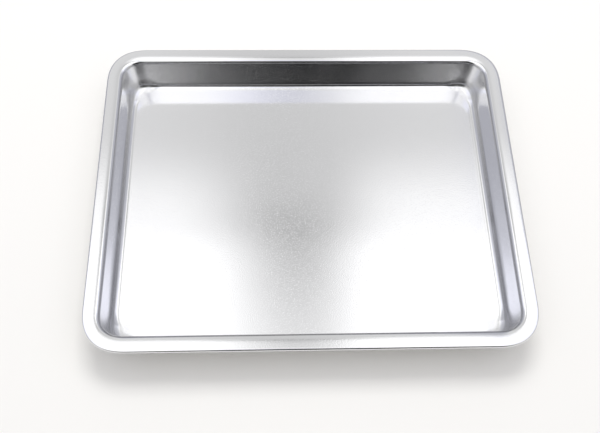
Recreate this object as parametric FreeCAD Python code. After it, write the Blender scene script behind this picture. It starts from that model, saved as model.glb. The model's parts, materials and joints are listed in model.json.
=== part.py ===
"""Roasting tray, pressed from one sheet of aluminium.

The tray is one solid, as the real one is. Its rim and wall are one bent section of sheet, taken round
the four sides and the four corners. A round foot turns the wall into the flat floor, and it grows
rounder in every corner, where the sheet is stretched most. The tray stands on its floor. The origin
is at the centre of the underside, X runs along the long sides and Z is up. All sizes are in
millimetres.
"""
import FreeCAD, Part
import math
import os

# Whole tray
LENGTH = 350.0            # over the rim, along X
WIDTH = 280.0             # over the rim, along Y
HEIGHT = 35.0             # from the table to the top of the rim
SHEET = 0.8               # thickness of the aluminium

# Rim: a turned-down edge and a slightly crowned flange, highest along the middle
EDGE_DROP = 3.0           # top of the bend down to the trimmed edge
EDGE_BEND_R = 1.5         # outside radius of the turned-down edge
EDGE_FALL = 2.0           # how much the flange falls towards its outer edge, in degrees
CREST_INSET = 5.0         # outer edge to the flange's highest line
FLANGE_WIDTH = 9.4        # outer edge to the start of the shoulder
FLANGE_LEAN = 6.0         # how much the flange falls inwards where the shoulder starts, in degrees

# Wall: a round shoulder at the mouth and a steep wall
SHOULDER_R = 4.8          # upper face, flange to wall
WALL_DRAFT = 3.0          # lean of the wall from upright, in degrees

# Foot and floor
FOOT_R = 6.8              # upper face, wall to floor, along the sides
CORNER_FOOT_R = 12.0      # the same in the middle of a corner
CENTRE_GAP = 3.4          # end of the foot, in the middle of a corner, to the corner's centre

UP = FreeCAD.Vector(0, 0, 1)
SIDES = 4
CORNER_SECTIONS = 9      # sections of the foot that are drawn round each corner
APPROACH_SECTIONS = 5     # and where it grows, on the side before the corner
JOIN_TOLERANCE = 0.001    # pieces this close to each other are joined


class SectionPath:
    """One face of the bent sheet, drawn by running along it: x is the distance in from the rim's
    outer edge, z the height. Heading 90 is up, 0 is inwards. The sheet lies to the right."""

    def __init__(self, x, z, heading, depth):
        self.depth = depth                      # 0 draws the upper face, SHEET the lower one
        self.heading = math.radians(heading)
        self.x = x + depth * math.sin(self.heading)
        self.z = z - depth * math.cos(self.heading)
        self.edges = []

    def point(self):
        return FreeCAD.Vector(self.x, 0, self.z)

    def run(self, length):
        start = self.point()
        self.x += length * math.cos(self.heading)
        self.z += length * math.sin(self.heading)
        self.edges.append(Part.LineSegment(start, self.point()).toShape())

    def bend(self, radius, degrees):
        """A round bend. The radius is the upper face's; right turns have positive degrees."""
        side = math.copysign(1.0, degrees)
        r = radius - side * self.depth
        centre_x = self.x + side * r * math.sin(self.heading)
        centre_z = self.z - side * r * math.cos(self.heading)

        def at(heading):
            return FreeCAD.Vector(centre_x - side * r * math.sin(heading), 0,
                                  centre_z + side * r * math.cos(heading))

        end = self.heading - math.radians(degrees)
        middle = (self.heading + end) / 2
        self.edges.append(Part.Arc(self.point(), at(middle), at(end)).toShape())
        self.x, self.z, self.heading = at(end).x, at(end).z, end


def sine(degrees):
    return math.sin(math.radians(degrees))


def cosine(degrees):
    return math.cos(math.radians(degrees))


def outer_crown_r():
    """Radius of the flange from the turned-down edge to its highest line."""
    return (CREST_INSET - EDGE_BEND_R * (1 - sine(EDGE_FALL))) / sine(EDGE_FALL)


def inner_crown_r():
    """Radius of the flange from its highest line to the shoulder."""
    return (FLANGE_WIDTH - CREST_INSET) / sine(FLANGE_LEAN)


def mouth():
    """Where the shoulder ends and the straight wall starts: distance in from the rim, and height."""
    inset = FLANGE_WIDTH + SHOULDER_R * (cosine(WALL_DRAFT) - sine(FLANGE_LEAN))
    crown_drop = inner_crown_r() * (1 - cosine(FLANGE_LEAN))
    shoulder_drop = SHOULDER_R * (cosine(FLANGE_LEAN) - sine(WALL_DRAFT))
    return inset, HEIGHT - crown_drop - shoulder_drop


def wall_inset(z):
    """Distance in from the rim to the wall's upper face at height z."""
    inset, height = mouth()
    return inset + (height - z) * math.tan(math.radians(WALL_DRAFT))


def foot_start(foot_r):
    """Height at which the wall turns into a foot of this radius."""
    return SHEET + foot_r * (1 - sine(WALL_DRAFT))


def foot_inset(foot_r):
    """Distance in from the rim to where a foot of this radius meets the floor."""
    return wall_inset(foot_start(foot_r)) + foot_r * cosine(WALL_DRAFT)


def seam_height():
    """Height at which the rim's section ends and the foot's begins, above the roundest foot."""
    return foot_start(CORNER_FOOT_R) + 1.0


def foot_radius(inset):
    """Radius of the foot that ends this far in from the rim."""
    return (inset - foot_inset(0.0)) / (foot_inset(1.0) - foot_inset(0.0))


def rim_corner_r():
    """Corner of the rim, seen from above. All faces of the rim and wall turn round the same centre."""
    return foot_inset(CORNER_FOOT_R) + CENTRE_GAP


def floor_corner_r():
    """Corner of the flat floor's outline. It is rounder than the wall's corner at the foot would be,
    which is what makes the foot grow there."""
    side_gap = rim_corner_r() - foot_inset(FOOT_R)
    return (math.sqrt(2) * side_gap - CENTRE_GAP) / (math.sqrt(2) - 1)


def approach():
    """How long before a corner the floor's outline starts to turn."""
    return floor_corner_r() - (rim_corner_r() - foot_inset(FOOT_R))


def foot_before_corner(back):
    """Radius of the foot on the side, this far before the corner."""
    reach = math.sqrt(floor_corner_r() ** 2 - (approach() - back) ** 2) - approach()
    return foot_radius(rim_corner_r() - reach)


def foot_in_corner(turn):
    """Radius of the foot at this turn round the corner, in degrees."""
    along = approach() * (cosine(turn) + sine(turn))
    reach = math.sqrt(floor_corner_r() ** 2 - 2 * approach() ** 2 + along ** 2) - along
    return foot_radius(rim_corner_r() - reach)


def plate_inset():
    """Where the sections end and the flat floor plate takes over."""
    return rim_corner_r() - CENTRE_GAP / 2


def rim_face(depth):
    """From the trimmed edge over the flange and down to the seam, along one face of the sheet."""
    edge_length = EDGE_DROP - EDGE_BEND_R
    crown_rise = outer_crown_r() * (1 - cosine(EDGE_FALL)) + EDGE_BEND_R * cosine(EDGE_FALL)
    path = SectionPath(0.0, HEIGHT - crown_rise - edge_length, 90.0, depth)
    path.run(edge_length)
    path.bend(EDGE_BEND_R, 90.0 - EDGE_FALL)
    path.bend(outer_crown_r(), EDGE_FALL)
    path.bend(inner_crown_r(), FLANGE_LEAN)
    path.bend(SHOULDER_R, 90.0 - WALL_DRAFT - FLANGE_LEAN)
    path.run((mouth()[1] - seam_height()) / cosine(WALL_DRAFT))
    return path


def foot_face(depth, foot_r):
    """From the seam down the wall, through the foot and on to the floor plate."""
    seam = seam_height()
    path = SectionPath(wall_inset(seam), seam, WALL_DRAFT - 90.0, depth)
    path.run((seam - foot_start(foot_r)) / cosine(WALL_DRAFT))
    path.bend(foot_r, WALL_DRAFT - 90.0)
    path.run(plate_inset() - foot_inset(foot_r))
    return path


def sheet_section(upper, lower):
    """The closed section between both faces of the sheet."""
    ends = Part.LineSegment(upper.point(), lower.point()).toShape()
    starts = [path.edges[0].firstVertex().Point for path in (upper, lower)]
    return Part.Wire(upper.edges + [ends] + lower.edges[::-1] + [Part.LineSegment(*starts).toShape()])


def rim_section():
    return sheet_section(rim_face(0.0), rim_face(SHEET))


def foot_section(foot_r):
    return sheet_section(foot_face(0.0, foot_r), foot_face(SHEET, foot_r))


def corner_foot(centre):
    """The foot round one corner, with the stretches of side before and after it. It grows from the
    side's radius to the corner's and back again."""
    def section(foot_r, back, turn, onward):
        place = FreeCAD.Vector(centre.x - rim_corner_r(), centre.y - back, 0)
        wire = foot_section(foot_r).translated(place)
        wire.rotate(centre, UP, -turn)
        return wire.translated(FreeCAD.Vector(onward, 0, 0))

    backs = [approach() * index / (APPROACH_SECTIONS - 1) for index in range(APPROACH_SECTIONS)]
    turns = [90.0 * index / (CORNER_SECTIONS - 1) for index in range(CORNER_SECTIONS)]
    before = [section(foot_before_corner(back), back, 0, 0) for back in reversed(backs)]
    corner = [section(foot_in_corner(turn), 0, turn, 0) for turn in turns]
    after = [section(foot_before_corner(back), 0, 90, back) for back in backs]
    return [Part.makeLoft(sections, True, False) for sections in (before, corner, after)]


def rim_and_foot():
    """Both sections carried along each side and round the corner that follows it, clockwise."""
    corner_r = rim_corner_r()
    rim = Part.Face(rim_section())
    foot = Part.Face(foot_section(FOOT_R))
    pieces = []
    for side in range(SIDES):
        across, along = (LENGTH, WIDTH) if side % 2 == 0 else (WIDTH, LENGTH)
        straight = along / 2 - corner_r
        start = FreeCAD.Vector(-across / 2, -straight, 0)
        end = FreeCAD.Vector(-across / 2, straight, 0)
        grow = FreeCAD.Vector(0, approach(), 0)
        centre = FreeCAD.Vector(corner_r - across / 2, straight, 0)
        side_pieces = [
            rim.translated(start).extrude(end - start),
            rim.translated(end).revolve(centre, UP, -90),
            foot.translated(start + grow).extrude(end - start - grow * 2),
        ]
        for piece in side_pieces + corner_foot(centre):
            piece.rotate(FreeCAD.Vector(0, 0, 0), UP, -90 * side)
            pieces.append(piece)
    return pieces


def floor():
    """The flat floor inside the foot, a plate with round corners."""
    corner_r = rim_corner_r() - plate_inset()
    half_x = LENGTH / 2 - rim_corner_r()
    half_y = WIDTH / 2 - rim_corner_r()
    slab = Part.makeBox(2 * half_x, 2 * half_y, SHEET, FreeCAD.Vector(-half_x, -half_y, 0))
    across = Part.makeBox(2 * (half_x + corner_r), 2 * half_y, SHEET,
                          FreeCAD.Vector(-half_x - corner_r, -half_y, 0))
    along = Part.makeBox(2 * half_x, 2 * (half_y + corner_r), SHEET,
                         FreeCAD.Vector(-half_x, -half_y - corner_r, 0))
    rounds = [Part.makeCylinder(corner_r, SHEET, FreeCAD.Vector(x, y, 0))
              for x in (-half_x, half_x) for y in (-half_y, half_y)]
    return slab.fuse([across, along] + rounds).removeSplitter()


def tray():
    body = floor().fuse(rim_and_foot(), JOIN_TOLERANCE).removeSplitter()
    return body.Solids[0] if len(body.Solids) == 1 else body


def main():
    os.makedirs("parts", exist_ok=True)
    shape = tray()
    shape.exportStep("parts/tray.step")
    box = shape.optimalBoundingBox()
    print("tray: %d solid, valid %s, volume %.0f mm3" % (len(shape.Solids), shape.isValid(), shape.Volume))
    print("size %.2f x %.2f x %.2f mm, lowest %.3f" % (box.XLength, box.YLength, box.ZLength, box.ZMin))
    print("foot ends %.2f mm in from the rim; corner radius %.2f mm at the rim, %.2f mm at the floor"
          % (foot_inset(FOOT_R), rim_corner_r(), floor_corner_r()))


main()
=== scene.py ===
# %% [markdown]
# # An aluminium roasting tray
# The real tray is one sheet of thin aluminium, pressed between two dies in a single stroke. It has no
# joints and no added parts, so the model is one piece: a bent section of sheet carried round the four
# sides and corners, with a flat floor inside it. A shiny tray has hardly any colour of its own. What
# we see in it is the room, so the lesson builds the tray first and then a studio for it to mirror.

# %% Start from the engineering model
import json
import math

import bpy
from mathutils import Matrix, Vector


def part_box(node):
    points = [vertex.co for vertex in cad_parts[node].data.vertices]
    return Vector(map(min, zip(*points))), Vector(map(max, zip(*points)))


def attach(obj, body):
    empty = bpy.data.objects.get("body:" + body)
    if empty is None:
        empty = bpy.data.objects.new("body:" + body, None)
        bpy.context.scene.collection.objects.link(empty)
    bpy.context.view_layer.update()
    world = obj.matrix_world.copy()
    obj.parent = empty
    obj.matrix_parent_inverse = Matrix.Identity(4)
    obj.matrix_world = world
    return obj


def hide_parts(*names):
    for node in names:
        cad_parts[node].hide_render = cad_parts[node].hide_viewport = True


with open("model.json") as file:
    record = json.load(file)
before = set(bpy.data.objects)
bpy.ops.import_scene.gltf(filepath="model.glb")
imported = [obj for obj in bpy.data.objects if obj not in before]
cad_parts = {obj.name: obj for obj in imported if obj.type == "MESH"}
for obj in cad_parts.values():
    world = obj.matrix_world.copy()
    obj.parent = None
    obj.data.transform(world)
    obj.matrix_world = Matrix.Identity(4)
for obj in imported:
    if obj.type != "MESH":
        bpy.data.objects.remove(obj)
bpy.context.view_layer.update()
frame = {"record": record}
tray_low, tray_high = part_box("tray")
size = tray_high - tray_low
MM = 0.001
kind = frame["record"]["type"]
print("the %s is %.0f x %.0f x %.0f mm" % (kind, size.x / MM, size.y / MM, size.z / MM))

# %% [markdown]
# ## The camera
# The camera comes first, because every later choice is judged through it. It looks steeply down on
# the tray from the near long side, a little to the left of the middle, and it is held slightly
# tilted, as a hand-held camera is. It starts out looking straight down. First it is rolled, then
# pitched up, and last it is turned to face right.

# %% Place the camera
CAMERA_PLACE = Vector((-0.0290, -0.3005, 0.5864))
CAMERA_PITCH = math.radians(63.73)       # below the horizon
CAMERA_YAW = math.radians(4.465)         # to the right of straight ahead
CAMERA_ROLL = math.radians(3.506)
CAMERA_LENS = 45.6                       # millimetres
SENSOR_WIDTH = 36.0                      # millimetres

camera = bpy.data.objects.new("camera", bpy.data.cameras.new("camera"))
bpy.context.collection.objects.link(camera)
bpy.context.scene.camera = camera
camera.data.lens = CAMERA_LENS
camera.data.sensor_width = SENSOR_WIDTH
turn = Matrix.Rotation(-CAMERA_YAW, 4, "Z")
turn = turn @ Matrix.Rotation(math.pi / 2 - CAMERA_PITCH, 4, "X")
turn = turn @ Matrix.Rotation(CAMERA_ROLL, 4, "Z")
camera.matrix_world = Matrix.Translation(CAMERA_PLACE) @ turn
print("the camera stands %.2f m above the table" % CAMERA_PLACE.z)

# %% [markdown]
# ## Shader maths as ordinary expressions
# A material is a graph of nodes, and a graph of thirty Math nodes is hard to read. This small class
# wraps a socket, so that `1 - mask * 0.5` adds the Math nodes by itself. Vectors and colours go
# through Vector Math, because a Math node would turn them into a single number.

# %% A socket that can do maths
VECTOR_KINDS = {"VECTOR", "RGBA"}


class Shade:
    """One value in a node tree. Expressions on it add the nodes that work them out."""

    def __init__(self, tree, socket=None):
        self.tree = tree
        self.socket = socket

    def node(self, kind, settings=None, inputs=None, output=0):
        """Adds any node: its settings first, then the values or links of its sockets."""
        made = self.tree.nodes.new(kind)
        for name, value in (settings or {}).items():
            setattr(made, name, value)
        for name, value in (inputs or {}).items():
            if isinstance(value, Shade):
                self.tree.links.new(value.socket, made.inputs[name])
            else:
                made.inputs[name].default_value = value
        return Shade(self.tree, made.outputs[output] if made.outputs else None)

    def is_vector(self):
        return self.socket.type in VECTOR_KINDS

    def maths(self, operation, *values):
        vectors = any(isinstance(v, Shade) and v.is_vector() for v in values)
        vectors = vectors or any(isinstance(v, (tuple, Vector)) for v in values)
        kind = "ShaderNodeVectorMath" if vectors else "ShaderNodeMath"
        if vectors:
            values = [(v, v, v) if isinstance(v, (int, float)) else v for v in values]
        return self.node(kind, {"operation": operation}, dict(enumerate(values)))

    def __add__(self, other):
        return self.maths("ADD", self, other)

    def __radd__(self, other):
        return self.maths("ADD", other, self)

    def __sub__(self, other):
        return self.maths("SUBTRACT", self, other)

    def __rsub__(self, other):
        return self.maths("SUBTRACT", other, self)

    def __mul__(self, other):
        return self.maths("MULTIPLY", self, other)

    def __rmul__(self, other):
        return self.maths("MULTIPLY", other, self)

    def __truediv__(self, other):
        return self.maths("DIVIDE", self, other)

    def __rtruediv__(self, other):
        return self.maths("DIVIDE", other, self)

    def __pow__(self, other):
        return self.maths("POWER", self, other)

    def __abs__(self):
        return self.maths("ABSOLUTE", self)

    def least(self, other):
        return self.maths("MINIMUM", self, other)

    def most(self, other):
        return self.maths("MAXIMUM", self, other)

    def ease(self, start, end, low=0.0, high=1.0):
        """Goes smoothly from low to high while this value goes from start to end."""
        ends = {"Value": self, "From Min": start, "From Max": end, "To Min": low, "To Max": high}
        return self.node("ShaderNodeMapRange", {"interpolation_type": "SMOOTHSTEP"}, ends)

    def parts(self):
        """The three parts of a vector."""
        split = self.tree.nodes.new("ShaderNodeSeparateXYZ")
        self.tree.links.new(self.socket, split.inputs[0])
        return [Shade(self.tree, output) for output in split.outputs]

    def mixed(self, colour, other):
        """Changes from one colour into another while this value goes from 0 to 1."""
        inputs = {"Factor": self, 6: colour, 7: other}
        return self.node("ShaderNodeMix", {"data_type": "RGBA"}, inputs, output=2)


print("Shade knows", ", ".join(name for name in vars(Shade) if not name.startswith("_")))

# %% [markdown]
# ## The sheet's section
# Cut the tray across one side, and the cut shows a strip of sheet 0.8 mm thick: a turned-down edge, a
# nearly flat flange, a round shoulder, a steep wall, a round foot and the floor. In the corners, where
# the sheet is stretched most, the press leaves the foot rounder. The main sizes are the engineering
# model's own.

# %% Sizes of the section
SHEET = 0.8 * MM
EDGE_DROP = 3.0 * MM
EDGE_BEND_R = 1.5 * MM
EDGE_SLOPE = math.radians(1.4)  # how steeply the flange starts to fall inwards
WALL_LEAN = math.radians(4.8)
FOOT_WIDTH = 6.2 * MM
CORNER_FOOT_WIDTH = 11.08 * MM
CENTRE_GAP = 3.4 * MM          # end of the foot to the corner's centre, in the middle of a corner
centre_inset = size.y / 2
print("the sheet is %.1f mm thick, and its edge is turned down by %.0f mm" % (SHEET / MM, EDGE_DROP / MM))

# %% [markdown]
# ## The rim's gentle curves
# On a mirror the eye sees slope, not height. The flange looks flat, yet it leans inwards a little,
# and more so from halfway, and the shoulder begins wide and then tightens. Each row below says where
# a bend ends and how steep the sheet is there, and the bend's radius follows from the row before.

# %% Bends of the rim, from the outer edge to the wall
RIM_BENDS = (                  # ends this far in (mm), falling this steeply (degrees), in pieces
    (5.0, 1.6, 4),
    (7.4, 3.2, 4),
    (9.6, 7.0, 5),
    (10.8, 13.0, 4),
    (13.69, 90.0 - math.degrees(WALL_LEAN), 18),
)


def rim_bends():
    """Radius, turn and pieces of each bend, how far the sheet drops, and where the wall starts."""
    inset = EDGE_BEND_R * (1 + math.sin(EDGE_SLOPE))
    slope = EDGE_SLOPE
    bends = []
    drop = EDGE_BEND_R * (1 - math.cos(EDGE_SLOPE))
    for end, degrees, pieces in RIM_BENDS:
        end_slope = math.radians(degrees)
        radius = (end * MM - inset) / (math.sin(end_slope) - math.sin(slope))
        bends.append((radius, end_slope - slope, pieces))
        drop += radius * (math.cos(slope) - math.cos(end_slope))
        inset, slope = end * MM, end_slope
    return bends, drop, inset


shoulder_bends, shoulder_drop, mouth_inset = rim_bends()
print("the wall starts %.1f mm in from the rim, %.1f mm down" % (mouth_inset / MM, shoulder_drop / MM))

# %% [markdown]
# ## The foot
# The foot is tight where it leaves the wall and opens out onto the floor, as sheet does when it is
# pressed round a die. A wider foot is the same shape made larger, so each bend is given as a share of
# the width. The wall leans in a little, so a wider foot starts higher up the wall and ends further in.

# %% Bends of the foot, from the wall to the floor
FOOT_SHARES = (                # share of the foot's width, how steep at its end (degrees), in pieces
    (0.32, 30.0, 12),
    (0.36, 9.0, 7),
    (0.32, 0.0, 5),
)


def foot_bends(width):
    """Radius, turn and pieces of each bend of a foot this wide, and how far the sheet drops."""
    slope = math.pi / 2 - WALL_LEAN
    bends = []
    drop = 0.0
    for share, degrees, pieces in FOOT_SHARES:
        end_slope = math.radians(degrees)
        radius = width * share / (math.sin(slope) - math.sin(end_slope))
        bends.append((radius, end_slope - slope, pieces))
        drop += radius * (math.cos(end_slope) - math.cos(slope))
        slope = end_slope
    return bends, drop


def wall_run(foot_width):
    """Length of the straight wall above a foot of this width."""
    foot_drop = foot_bends(foot_width)[1]
    return (size.z - shoulder_drop - SHEET - foot_drop) / math.cos(WALL_LEAN)


def foot_inset(foot_width):
    """Distance in from the rim to where the foot meets the floor."""
    return mouth_inset + wall_run(foot_width) * math.sin(WALL_LEAN) + foot_width


rim_corner_r = foot_inset(CORNER_FOOT_WIDTH) + CENTRE_GAP
side_gap = rim_corner_r - foot_inset(FOOT_WIDTH)
floor_corner_r = (math.sqrt(2) * side_gap - CENTRE_GAP) / (math.sqrt(2) - 1)
print("corner radius %.2f mm at the rim, %.2f mm at the floor" % (rim_corner_r / MM, floor_corner_r / MM))

# %% [markdown]
# ## Walking along the section
# Like a turtle drawing a path, `Walk` runs straight ahead or turns through a bend, and notes points
# on the way. The upper face is walked at depth 0 and the lower face at the sheet's thickness, so both
# stay parallel. Extra points close to each bend keep the shading flat right up to it.

# %% Walk along one face of the sheet
SUPPORT = 0.25 * MM
EDGE_PIECES = 8
WALL_PIECES = 10


class Walk:
    def __init__(self, inset, height, heading, depth):
        self.depth = depth
        self.heading = heading
        self.inset = inset + depth * math.sin(heading)
        self.height = height - depth * math.cos(heading)
        self.points = [(self.inset, self.height)]

    def step_to(self, inset, height):
        self.inset, self.height = inset, height
        self.points.append((inset, height))

    def ahead(self, length):
        inset = self.inset + length * math.cos(self.heading)
        height = self.height + length * math.sin(self.heading)
        self.step_to(inset, height)

    def run(self, length, pieces):
        """A straight run, with a support point near each end."""
        middle = length - 2 * SUPPORT
        self.ahead(SUPPORT)
        for _ in range(pieces):
            self.ahead(middle / pieces)
        self.ahead(SUPPORT)

    def bend(self, radius, angle, pieces):
        """A round bend. The radius is the upper face's, and a right turn has a positive angle."""
        side = math.copysign(1.0, angle)
        r = radius - side * self.depth
        middle_inset = self.inset + side * r * math.sin(self.heading)
        middle_height = self.height - side * r * math.cos(self.heading)
        for _ in range(pieces):
            self.heading -= angle / pieces
            inset = middle_inset - side * r * math.sin(self.heading)
            height = middle_height + side * r * math.cos(self.heading)
            self.step_to(inset, height)


def walk_rim_and_wall(depth, foot_width):
    """From the trimmed edge over the flange, down the wall and round the foot."""
    edge_length = EDGE_DROP - EDGE_BEND_R
    edge_height = size.z - EDGE_BEND_R - edge_length
    walk = Walk(0.0, edge_height, math.pi / 2, depth)
    walk.run(edge_length, 1)
    walk.bend(EDGE_BEND_R, math.pi / 2 + EDGE_SLOPE, EDGE_PIECES)
    for radius, turn, pieces in shoulder_bends:
        walk.bend(radius, turn, pieces)
    walk.run(wall_run(foot_width), WALL_PIECES)
    for radius, turn, pieces in foot_bends(foot_width)[0]:
        walk.bend(radius, turn, pieces)
    return walk.points


side_upper = walk_rim_and_wall(0.0, FOOT_WIDTH)
print("rim, wall and foot: %d points along each face" % len(side_upper))

# %% [markdown]
# ## From the section to rings
# Each point of the section becomes a ring round the tray. A ring needs three numbers: how far it is
# set in from the rim, how round its corners are, and its height. On rim, wall and foot all rings share
# one centre in each corner. On the floor the corners open out and then shrink to nothing towards the
# middle, so that the rings close up on a line.

# %% Give every section point its corner radius
FLOOR_RINGS = 26
OPEN_FLOOR_INSET = 24.0 * MM
OPEN_FLOOR_CORNER = 24.0 * MM
RINGS_TO_OPEN = 4
FLOOR_CROWDING = 1.3           # 1 spaces the floor's rings evenly, and more draws them to the foot


def between(start, end, share):
    return start + (end - start) * share


def floor_rings(foot_width, height):
    """Rings from the foot's end to the middle of the floor."""
    start = foot_inset(foot_width) + SUPPORT
    rings = [(start, rim_corner_r - start, height)]
    for index in range(1, FLOOR_RINGS + 1):
        share = ((index - 1) / (FLOOR_RINGS - 1)) ** FLOOR_CROWDING
        opened = min(1.0, index / RINGS_TO_OPEN)
        inset = between(OPEN_FLOOR_INSET, centre_inset, share)
        corner = between(OPEN_FLOOR_CORNER, 0.0, share)
        rings.append((between(start, inset, opened), between(rings[0][1], corner, opened), height))
    return rings


def section_rings(foot_width):
    """Both faces of the sheet: from the middle of the underside out to the rim and back inside."""
    faces = []
    for depth in (SHEET, 0.0):
        points = walk_rim_and_wall(depth, foot_width)
        rings = [(inset, rim_corner_r - inset, height) for inset, height in points]
        faces.append(rings + floor_rings(foot_width, SHEET - depth))
    return faces[0][::-1] + faces[1]


side_section = section_rings(FOOT_WIDTH)
corner_section = section_rings(CORNER_FOOT_WIDTH)
print("the closed section has %d stations" % len(side_section))

# %% [markdown]
# ## A helper that only holds the section
# Geometry Nodes can read numbers from another object. This helper is a mesh of loose points: each
# point's X is a ring's inset, Y its corner radius and Z its height. How much each number changes in
# the middle of a corner is stored beside it, as an attribute. The helper is deleted after the tray
# has been made from it.

# %% Store the section in a helper mesh
section_mesh = bpy.data.meshes.new("tray_section")
section_mesh.from_pydata(side_section, [], [])
corner_change = section_mesh.attributes.new("corner_change", "FLOAT_VECTOR", "POINT")
for item, at_side, at_corner in zip(corner_change.data, side_section, corner_section):
    item.vector = Vector(at_corner) - Vector(at_side)
section_helper = bpy.data.objects.new("tray_section", section_mesh)
bpy.context.collection.objects.link(section_helper)
print("the helper holds %d rings" % len(section_mesh.vertices))

# %% [markdown]
# ## Pressing the tray with Geometry Nodes
# The tray's shape follows a rule, so a node tree makes it. It starts from a flat grid: one row for
# each ring, one column for each place round the rim. Then it works out where each grid point belongs
# and moves it there. The rule is easy to change: ask for more points, or for another length, and the
# whole tray follows. Sweeping a curve would also make a rim, but not corners whose roundness changes
# from ring to ring.

# %% A node tree builder for geometry
SIDE_POINTS = 56
CORNER_POINTS = 34
WAVE_HEIGHT = 0.05 * MM
WAVE_SIZE = 60.0 * MM
WALL_WAVES = 0.25 * MM

PRESS_INPUTS = {
    "Length": "NodeSocketFloat",
    "Width": "NodeSocketFloat",
    "Section": "NodeSocketObject",
    "Points along a side": "NodeSocketInt",
    "Points round a corner": "NodeSocketInt",
    "Floor corner": "NodeSocketFloat",
    "Wave height": "NodeSocketFloat",
    "Wave size": "NodeSocketFloat",
    "Wall waves": "NodeSocketFloat",
    "Finish": "NodeSocketMaterial",
}

press = bpy.data.node_groups.new("press_tray", "GeometryNodeTree")
group = press.interface
for label, socket_type in PRESS_INPUTS.items():
    group.new_socket(label, in_out="INPUT", socket_type=socket_type)
group.new_socket("Tray", in_out="OUTPUT", socket_type="NodeSocketGeometry")
given = press.nodes.new("NodeGroupInput")
empty = Shade(press)


def asked(name):
    return Shade(press, given.outputs[name])


def whole(value):
    return empty.maths("FLOOR", value)


print("the press takes", ", ".join(PRESS_INPUTS))

# %% [markdown]
# ## Which ring, and where round the rim?
# A grid numbers its points row by row, so dividing a point's number by the row length gives its ring,
# and the rest is its place round the rim. Each quarter of that way is one straight side followed by
# one corner.

# %% Number the grid's points
quarter = asked("Points along a side") + asked("Points round a corner")
row_length = quarter * 4 + 1
helper_info = empty.node("GeometryNodeObjectInfo", {}, {"Object": asked("Section")}, "Geometry")
rings_there = empty.node("GeometryNodeAttributeDomainSize", {}, {"Geometry": helper_info})
grid = empty.node("GeometryNodeMeshGrid", {}, {"Vertices X": rings_there, "Vertices Y": row_length})
number = empty.node("GeometryNodeInputIndex")
ring = whole((number + 0.5) / row_length)
place = number - ring * row_length
side = whole((place + 0.5) / quarter)
step = place - side * quarter
along_side = (step / asked("Points along a side")).least(1.0)
round_corner = ((step - asked("Points along a side")) / asked("Points round a corner")).most(0.0)
odd_side = side - whole(side * 0.5) * 2
print("counting the points takes %d nodes so far" % len(press.nodes))

# %% [markdown]
# ## Closer together near the corners
# Reflections bend most where a straight side runs into a corner, so the points along a side are drawn
# towards its two ends.

# %% Space the points along a side
CROWDING = 0.7                 # 0 spaces the points evenly, and nearly 1 crowds them at the ends
full_turn = 2 * math.pi
wobble = empty.maths("SINE", along_side * full_turn)
along_side = along_side - wobble * (CROWDING / full_turn)
print("the points are %.1f times closer at the ends" % (1 / (1 - CROWDING)))

# %% [markdown]
# ## How much of a corner is this place?
# The floor's outline starts to turn a little before the wall does. `reach` is the distance from the
# centre that the wall turns round to that outline: on the side it follows from Pythagoras, and in the
# corner from the same circle seen at an angle. `cornerness` goes from 0 on the side to 1 in the middle
# of the corner.

# %% Work out the cornerness
length_way = asked("Length") * 0.5
width_way = asked("Width") * 0.5
half_across = length_way + (width_way - length_way) * odd_side
half_along = width_way + (length_way - width_way) * odd_side
angle = round_corner * (math.pi / 2)
cosine = empty.maths("COSINE", angle).most(0.0)
sine = empty.maths("SINE", angle).most(0.0)

approach = asked("Floor corner") - side_gap
before_corner = (0.5 - abs(along_side - 0.5)) * (half_along - rim_corner_r) * 2
lean = (approach - before_corner).most(0.0)
reach_on_side = (asked("Floor corner") ** 2 - lean**2) ** 0.5 - approach
along = approach * (cosine + sine)
room_left = asked("Floor corner") ** 2 - approach**2 * 2
reach_in_corner = (room_left + along**2) ** 0.5 - along
reach_at_start = (room_left + approach**2) ** 0.5 - approach
reach = reach_on_side + reach_in_corner - reach_at_start
cornerness = (side_gap - reach) / (side_gap - CENTRE_GAP)
print("the reach goes from %.1f mm down to %.1f mm" % (side_gap / MM, CENTRE_GAP / MM))

# %% [markdown]
# ## Moving each point to its place
# The ring's three numbers are read from the helper, with their change in the corners. A corner isn't
# a quarter of a circle: the tool maker blends it into the sides, so that its curvature grows from
# nothing. A squircle does that, the curve in which x and y are taken to the power of 2.5. A point on
# the first side is worked out for the left-hand side of the tray, and is then turned by a quarter turn
# for each further side.

# %% Work out the positions
SQUIRCLE_POWER = 2 / 2.5
SQUIRCLE_REACH = (1 - math.sqrt(0.5)) / (1 - math.sqrt(0.5) ** SQUIRCLE_POWER)

position = empty.node("GeometryNodeInputPosition")
change_kind = {"data_type": "FLOAT_VECTOR"}
change = empty.node("GeometryNodeInputNamedAttribute", change_kind, {"Name": "corner_change"})


def ring_facts(value):
    """The helper's value at this point's ring."""
    settings = {"data_type": "FLOAT_VECTOR", "domain": "POINT"}
    inputs = {"Geometry": helper_info, "Value": value, "Index": ring}
    return empty.node("GeometryNodeSampleIndex", settings, inputs)


facts = ring_facts(position) + ring_facts(change) * cornerness
inset, corner_r, height = facts.parts()
corner_reach = corner_r * SQUIRCLE_REACH
flat_across = half_across - inset - corner_reach
flat_along = half_along - inset - corner_reach
left = 0.0 - flat_across - corner_reach * cosine**SQUIRCLE_POWER
forward = flat_along * (along_side * 2 - 1) + corner_reach * sine**SQUIRCLE_POWER
on_first_side = empty.node("ShaderNodeCombineXYZ", {}, {"X": left, "Y": forward, "Z": height})
turned = empty.node(
    "ShaderNodeVectorRotate",
    {"rotation_type": "Z_AXIS"},
    {"Vector": on_first_side, "Angle": side * (-math.pi / 2)},
)
print("a blended corner starts %.0f%% sooner than a round one" % (100 * (SQUIRCLE_REACH - 1)))

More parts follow.
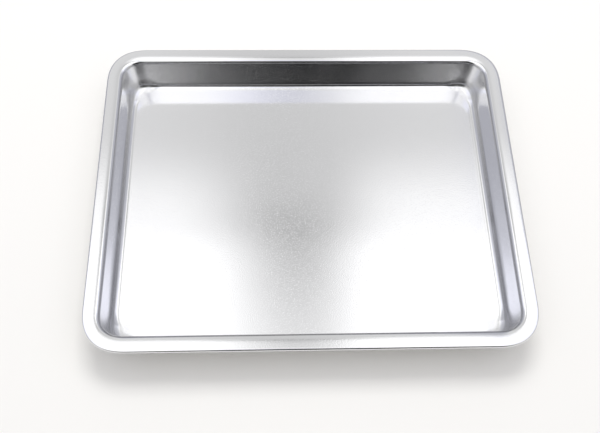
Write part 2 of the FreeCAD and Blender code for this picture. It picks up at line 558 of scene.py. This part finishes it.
# %% [markdown]
# ## Pressed sheet is never quite flat
# A die leaves thin sheet with slow waves a few hundredths of a millimetre high. They can't be seen as
# shape, but they bend the reflections, and without them a tray looks like computer glass. A smooth
# noise moves both faces of the sheet together. It is strongest on the wall, where the sheet is drawn
# over the die, and it fades to nothing at the rim's edge. It lifts the floor and lowers the rim, so
# the tray never grows beyond its size.

# %% Add the waves, close the seams and finish the tree
MERGE_DISTANCE = 0.005 * MM
share_up = height / size.z
on_wall = share_up.ease(0.04, 0.3) * share_up.ease(0.8, 1.0, 1.0, 0.0)
inside_rim = inset.ease(1.0 * MM, 14.0 * MM)
noise = empty.node(
    "ShaderNodeTexNoise",
    {"noise_dimensions": "3D"},
    {"Vector": turned, "Scale": 1.0 / asked("Wave size"), "Detail": 1.0, "Roughness": 0.4},
    "Color",
)
wave_x, wave_y, wave_z = noise.parts()
sideways = (asked("Wave height") + on_wall * asked("Wall waves")) * inside_rim
upwards = (wave_z - share_up) * asked("Wave height") * inside_rim
wave = empty.node(
    "ShaderNodeCombineXYZ",
    {},
    {"X": (wave_x - 0.5) * sideways, "Y": (wave_y - 0.5) * sideways, "Z": upwards},
)
placed = turned + wave
moved = empty.node("GeometryNodeSetPosition", {}, {"Geometry": grid, "Position": placed})
closed = empty.node("GeometryNodeMergeByDistance", {}, {"Geometry": moved, "Distance": MERGE_DISTANCE})
smooth = empty.node("GeometryNodeSetShadeSmooth", {}, {"Geometry": closed})
real = empty.node("GeometryNodeRealizeInstances", {}, {"Geometry": smooth})
finished = empty.node("GeometryNodeSetMaterial", {}, {"Geometry": real, "Material": asked("Finish")})
result = press.nodes.new("NodeGroupOutput")
press.links.new(finished.socket, result.inputs["Tray"])
print("the press has %d nodes" % len(press.nodes))

# %% [markdown]
# ## The aluminium
# Rolled aluminium is a soft mirror: nearly white metal, with a fine grain that scatters a little of
# the light. Two noises make the grain: a coarse one that changes how sharp the mirror is from place
# to place, and a fine one. On the floor, which the die hardly touches, the fine grain's highest
# points stand up as specks that sparkle. On the wall the sheet is drawn smooth over the die.

# %% Make the metal
ALUMINIUM = (0.87, 0.87, 0.88, 1.0)
GRAIN_SCALE = 1300.0           # noise cells in a metre, so the grain is finer than a millimetre
PATCH_SCALE = 45.0
GRAIN_DEPTH = 0.2 * MM
GRAIN_STRENGTH = 0.1
SPECK_HEIGHT = 2.5             # times the height of the grain

metal = bpy.data.materials.new("pressed_aluminium")
metal.use_nodes = True
metal.node_tree.nodes.clear()
paint = Shade(metal.node_tree)
coords = paint.node("ShaderNodeTexCoord", output="Object")
grain_inputs = {"Vector": coords, "Scale": GRAIN_SCALE, "Detail": 1.0}
grain = paint.node("ShaderNodeTexNoise", {}, grain_inputs)
patch_inputs = {"Vector": coords, "Scale": PATCH_SCALE, "Detail": 3.0}
patches = paint.node("ShaderNodeTexNoise", {}, patch_inputs)
specks = grain.ease(0.64, 0.74)
along, across, up_the_wall = coords.parts()
on_floor = up_the_wall.ease(1.2 * MM, 3.0 * MM, 1.0, 0.0)
relief = grain + specks * on_floor * SPECK_HEIGHT
bump_inputs = {"Height": relief, "Strength": GRAIN_STRENGTH, "Distance": GRAIN_DEPTH}
bump = paint.node("ShaderNodeBump", {}, bump_inputs)
print("the grain is about %.1f mm across" % (1 / GRAIN_SCALE / MM))

# %% [markdown]
# ## Stretched corners
# Where the sheet is stretched round a corner its surface roughens, so the corners mirror the room
# softly. The mask is 1 inside a corner's wall and foot, and 0 on the flange and along the sides.

# %% Make the stretched corners rougher
SHARP, SOFT = 0.05, 0.08       # least and most roughness of the grain
PATCH_ROUGHNESS = 0.02
STRETCHED_ROUGHNESS = 0.17
STRETCH_STARTS, STRETCH_FULL = 44.0 * MM, 30.0 * MM    # in from the rim's edge
WALL_TOP, FLANGE_LOW = size.z - 3.5 * MM, size.z - 1.0 * MM

half_length, half_width = size.x / 2, size.y / 2
at_end = abs(along).ease(half_length - STRETCH_STARTS, half_length - STRETCH_FULL)
at_side = abs(across).ease(half_width - STRETCH_STARTS, half_width - STRETCH_FULL)
stretched = at_end * at_side * up_the_wall.ease(WALL_TOP, FLANGE_LOW, 1.0, 0.0)
roughness = grain.ease(0.3, 0.7, SHARP, SOFT) + patches.ease(0.4, 0.65, 0.0, PATCH_ROUGHNESS)
roughness = roughness + stretched * STRETCHED_ROUGHNESS
surface_inputs = {
    "Base Color": ALUMINIUM,
    "Metallic": 1.0,
    "Roughness": roughness,
    "Normal": bump,
}
surface = paint.node("ShaderNodeBsdfPrincipled", {}, surface_inputs)
paint.node("ShaderNodeOutputMaterial", {}, {"Surface": surface})
print("the metal has %d nodes" % len(metal.node_tree.nodes))

# %% [markdown]
# ## Running the press
# The modifier's inputs are set by each socket's identifier before the tray is first worked out. Then
# the result is copied to a plain mesh, and the modifier and the helper are removed.

# %% Press the tray
def input_name(label):
    return next(s.identifier for s in group.items_tree if s.name == label and s.in_out == "INPUT")


order = {
    "Length": size.x,
    "Width": size.y,
    "Section": section_helper,
    "Points along a side": SIDE_POINTS,
    "Points round a corner": CORNER_POINTS,
    "Floor corner": floor_corner_r,
    "Wave height": WAVE_HEIGHT,
    "Wave size": WAVE_SIZE,
    "Wall waves": WALL_WAVES,
    "Finish": metal,
}
blank = bpy.data.objects.new("blank", bpy.data.meshes.new("blank"))
bpy.context.collection.objects.link(blank)
modifier = blank.modifiers.new("press", "NODES")
modifier.node_group = press
for label, value in order.items():
    modifier[input_name(label)] = value
pressed = blank.evaluated_get(bpy.context.evaluated_depsgraph_get())
tray_mesh = bpy.data.meshes.new_from_object(pressed)
blank.modifiers.remove(modifier)
bpy.data.objects.remove(blank)
bpy.data.objects.remove(section_helper)

tray = bpy.data.objects.new("pressed_tray", tray_mesh)
tray_mesh.name = "pressed_tray"
bpy.context.collection.objects.link(tray)
triangles = sum(len(face.vertices) - 2 for face in tray_mesh.polygons)
print("the tray has %d triangles" % triangles)

# %% [markdown]
# ## Does the surface face outwards?
# A renderer forgives a mesh that is inside out, but a printer or an engineer's program doesn't. Every
# triangle and the origin span a small pyramid, and the pyramids add up to the volume inside the mesh.
# The sum comes out negative when the faces point inwards, so one number tests the whole tray.

# %% Measure the volume
def volume_of(mesh):
    """Volume inside a closed mesh, positive where its faces point outwards."""
    total = 0.0
    mesh.calc_loop_triangles()
    for triangle in mesh.loop_triangles:
        a, b, c = (mesh.vertices[i].co for i in triangle.vertices)
        total += a.dot(b.cross(c)) / 6
    return total


print("metal in the tray: %.0f cubic millimetres" % (volume_of(tray_mesh) / MM**3))

# %% [markdown]
# ## The table
# A plain matt floor in a warm, pale colour. The cool light of the room turns it nearly white, and the
# tray's shadow stays on it.

# %% Lay the floor
FLOOR_COLOUR = (0.885, 0.87, 0.835, 1.0)
FLOOR_HALF = 6.0

floor_mesh = bpy.data.meshes.new("table")
corners = [(-1, -1), (1, -1), (1, 1), (-1, 1)]
floor_points = [(x * FLOOR_HALF, y * FLOOR_HALF, tray_low.z) for x, y in corners]
floor_mesh.from_pydata(floor_points, [], [(0, 1, 2, 3)])
floor = bpy.data.objects.new("table", floor_mesh)
bpy.context.collection.objects.link(floor)
table_finish = bpy.data.materials.new("white_table")
table_finish.use_nodes = True
table_finish.node_tree.nodes.clear()
cover = Shade(table_finish.node_tree)
matt = cover.node("ShaderNodeBsdfDiffuse", {}, {"Color": FLOOR_COLOUR})
cover.node("ShaderNodeOutputMaterial", {}, {"Surface": matt})
floor_mesh.materials.append(table_finish)
print("the table is %.0f m wide" % (2 * FLOOR_HALF))

# %% [markdown]
# ## The studio
# A mirror shows the room above it, so the room is painted by direction. East, north and up are the
# three parts of the direction that a ray leaves in. Dividing east and north by up gives a flat map of
# the ceiling, one unit being 45 degrees from straight up, and on that map a long lamp is a plain
# rectangle.

# %% A flat map of the ceiling
LEAST_UP = 0.02                # keeps the map finite at the horizon

studio = bpy.data.worlds.new("studio")
bpy.context.scene.world = studio
studio.use_nodes = True
studio.node_tree.nodes.clear()
sky = Shade(studio.node_tree)
direction = sky.node("ShaderNodeTexCoord", output="Generated")
east, north, up = direction.parts()
up = up.most(LEAST_UP)
u = east / up
v = north / up
print("the map ends %.0f units out, at the horizon" % (1 / LEAST_UP))

# %% [markdown]
# ## Walls of the room
# The room is palest overhead and darker near the horizon. To both sides of the lamps the ceiling
# falls off a little towards the far end.

# %% Paint the walls
ROOM_MIDDLE = 0.01             # on the map, a little to the east
LOW_AHEAD, HIGH_AHEAD = 0.31, 0.64
LOW_BEHIND, HIGH_BEHIND = 0.42, 0.72

from_middle = abs(u - ROOM_MIDDLE)
high_ahead = from_middle.ease(0.0, 0.24, 0.0, 0.11) + v.ease(0.6, 0.7, 0.0, 0.03) + HIGH_AHEAD
high_beside = v.ease(0.46, 0.63, 0.74, 0.54)
beside = from_middle.ease(0.31, 0.345)
ahead = up.ease(0.25, 0.6, LOW_AHEAD, high_ahead + (high_beside - high_ahead) * beside)
behind_us = up.ease(0.0, 0.75, LOW_BEHIND, HIGH_BEHIND)
facing_back = north.ease(-0.3, -0.05, 1.0, 0.0)
room = ahead + (behind_us - ahead) * facing_back
print("the walls take %d nodes" % len(studio.node_tree.nodes))

# %% [markdown]
# ## Two long soft lamps
# They hang side by side overhead with a gap between them, and grow dimmer to the sides. Past their
# far ends the ceiling glows a little, except behind the gap, and the gap itself is darkest there. A
# thin darker frame closes the far ends.

# %% Paint the glow and the lamps
LAMPS_MIDDLE = 0.03            # on the map, about midway between the two lamps
LAMP_LIGHT, OUTER_LAMP_LIGHT = 1.35, 1.15
GAP_NEAR, GAP_FAR = 0.84, 0.61
GLOW = 0.42
DARK_END = 0.13
FRAME_DARKNESS = 0.07

glow_left = u.ease(-0.36, -0.3) * u.ease(-0.15, 0.0, 1.0, 0.0)
glow_right = u.ease(0.07, 0.18) * u.ease(0.32, 0.345, 1.0, 0.0)
glow_beside = glow_left + glow_right
room = room + v.ease(0.49, 0.635, GLOW, 0.0) * glow_beside
from_gap = abs(u - LAMPS_MIDDLE)
dark_end = from_gap.ease(0.0, 0.1, DARK_END, 0.0)
room = room - dark_end * v.ease(0.47, 0.55, 1.0, 0.0)

gap_light = v.ease(0.30, 0.44, GAP_NEAR, GAP_FAR)
lamp_light = from_gap.ease(0.26, 0.34, LAMP_LIGHT, OUTER_LAMP_LIGHT)
lamp_light = lamp_light - from_gap.ease(0.9, 1.3, 0.0, 0.55)
on_lamp = u.ease(-0.11, 0.03, 1.0, 0.0) + u.ease(0.045, 0.145)
ceiling = gap_light + (lamp_light - gap_light) * on_lamp
overhead = v.ease(-0.92, -0.68) * v.ease(0.443, 0.467, 1.0, 0.0)
room = room + (ceiling - room) * overhead
lamp_frame = v.ease(0.45, 0.465) * v.ease(0.471, 0.486, 1.0, 0.0)
room = room - lamp_frame * FRAME_DARKNESS
print("the lamps are %.1f times as bright as the wall" % (LAMP_LIGHT / HIGH_AHEAD))

# %% [markdown]
# ## The room behind the camera
# Behind the camera the room is darkest in the middle, and it grows paler to both sides.

# %% Darken the room behind the camera
DARKEST_SLANT = 0.05           # a little to the east
DARKENING = 0.5

backwards = (0.0 - north).most(0.05)
slant = east / backwards
behind = v.ease(-0.92, -0.74, 1.0, 0.0) * north.ease(-0.1, 0.0, 1.0, 0.0)
dim_behind = abs(slant - DARKEST_SLANT).ease(0.4, 1.2, DARKENING, 0.0)
room = room * (1.0 - dim_behind * behind)
print("the room takes %d nodes so far" % len(studio.node_tree.nodes))

# %% [markdown]
# ## A cool room
# Light from the sides is bluish, and so is the ceiling behind the camera. Right overhead it is
# neutral. The floor of the tray mirrors what is overhead, so the tint shows mostly on the walls.

# %% Tint the room and hang it round the scene
NEUTRAL = (1.0, 1.0, 1.0, 1.0)
COOL = (0.95, 0.96, 1.05, 1.0)

cool_ahead = from_middle.ease(0.27, 0.36) * (1.0 - facing_back)
cool_behind = facing_back * up.ease(0.78, 0.9) * abs(slant).ease(0.08, 0.22, 1.0, 0.15)
tint = (cool_ahead + cool_behind).mixed(NEUTRAL, COOL)
background = sky.node("ShaderNodeBackground", {}, {"Color": tint, "Strength": room})
sky.node("ShaderNodeOutputWorld", {}, {"Surface": background})
print("the finished room has %d nodes" % len(studio.node_tree.nodes))

# %% [markdown]
# ## A dark card behind the camera
# The far wall of the tray mirrors what is behind the camera, and it needs something dark there to look
# like metal. A dark shape painted on the distant room would look the same from everywhere on the tray,
# so this one is a card that stands close by. It fades out at its edges, a noise along it gives it
# folds like cloth, and only reflections can see it.

# %% Stand a dark card behind the camera
CARD_Y = -0.45
CARD_HALF, CARD_TOP = 0.60, 0.85
CARD_LIGHT = 0.03
FOLD_SCALE = 14.0              # noise cells in a metre

card_mesh = bpy.data.meshes.new("dark_card")
card_corners = [
    (-CARD_HALF, CARD_Y, 0.0),
    (CARD_HALF, CARD_Y, 0.0),
    (CARD_HALF, CARD_Y, CARD_TOP),
    (-CARD_HALF, CARD_Y, CARD_TOP),
]
card_mesh.from_pydata(card_corners, [], [(0, 1, 2, 3)])
card = bpy.data.objects.new("dark_card", card_mesh)
bpy.context.collection.objects.link(card)
dark_finish = bpy.data.materials.new("dark_cloth")
dark_finish.use_nodes = True
dark_finish.node_tree.nodes.clear()
cloth = Shade(dark_finish.node_tree)
card_x, _, card_z = cloth.node("ShaderNodeTexCoord", output="Object").parts()
left_edge = card_x.ease(-0.32, -0.13) * 0.75 + card_x.ease(-0.18, 0.0) * 0.25
right_edge = card_x.ease(0.21, 0.39, 1.0, 0.0) - card_x.ease(0.1, 0.2, 0.0, 0.08)
fold_inputs = {"W": card_x, "Scale": FOLD_SCALE}
folds = cloth.node("ShaderNodeTexNoise", {"noise_dimensions": "1D"}, fold_inputs)
solid_part = left_edge * right_edge.most(0.0) * folds.ease(0.35, 0.65, 0.95, 1.0)
solid_part = solid_part * card_z.ease(0.6, 0.76, 1.0, 0.0)
clear = cloth.node("ShaderNodeBsdfTransparent")
dim = cloth.node("ShaderNodeEmission", {}, {"Strength": CARD_LIGHT})
cloth_mix = cloth.node("ShaderNodeMixShader", {}, {0: solid_part, 1: clear, 2: dim})
cloth.node("ShaderNodeOutputMaterial", {}, {"Surface": cloth_mix})
card_mesh.materials.append(dark_finish)
card.visible_camera = False
card.visible_diffuse = False
card.visible_shadow = False
card.visible_transmission = False
print("the card is %.2f m wide and stands %.2f m away" % (2 * CARD_HALF, -CARD_Y))

# %% [markdown]
# ## The key lamp
# One real lamp above the far side gives the tray its soft shadow on the table. The metal doesn't see
# it, because the painted lamps are what it should mirror.

# %% Add the key lamp
KEY_PLACE = Vector((0.0, 0.75, 1.6))
KEY_SIZE = (0.9, 0.6)
KEY_WATTS = 12.5

lamp = bpy.data.lights.new("key", "AREA")
lamp.shape = "RECTANGLE"
lamp.size, lamp.size_y = KEY_SIZE
lamp.energy = KEY_WATTS
key = bpy.data.objects.new("key", lamp)
bpy.context.collection.objects.link(key)
key.location = KEY_PLACE
key.rotation_euler = (-KEY_PLACE).to_track_quat("-Z", "Y").to_euler()
key.visible_glossy = False
key.visible_camera = False
print("the key lamp hangs %.1f m up" % KEY_PLACE.z)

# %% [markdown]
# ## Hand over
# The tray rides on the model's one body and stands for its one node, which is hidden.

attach(tray, "root")
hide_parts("tray")
bpy.context.scene.view_settings.view_transform = "Standard"
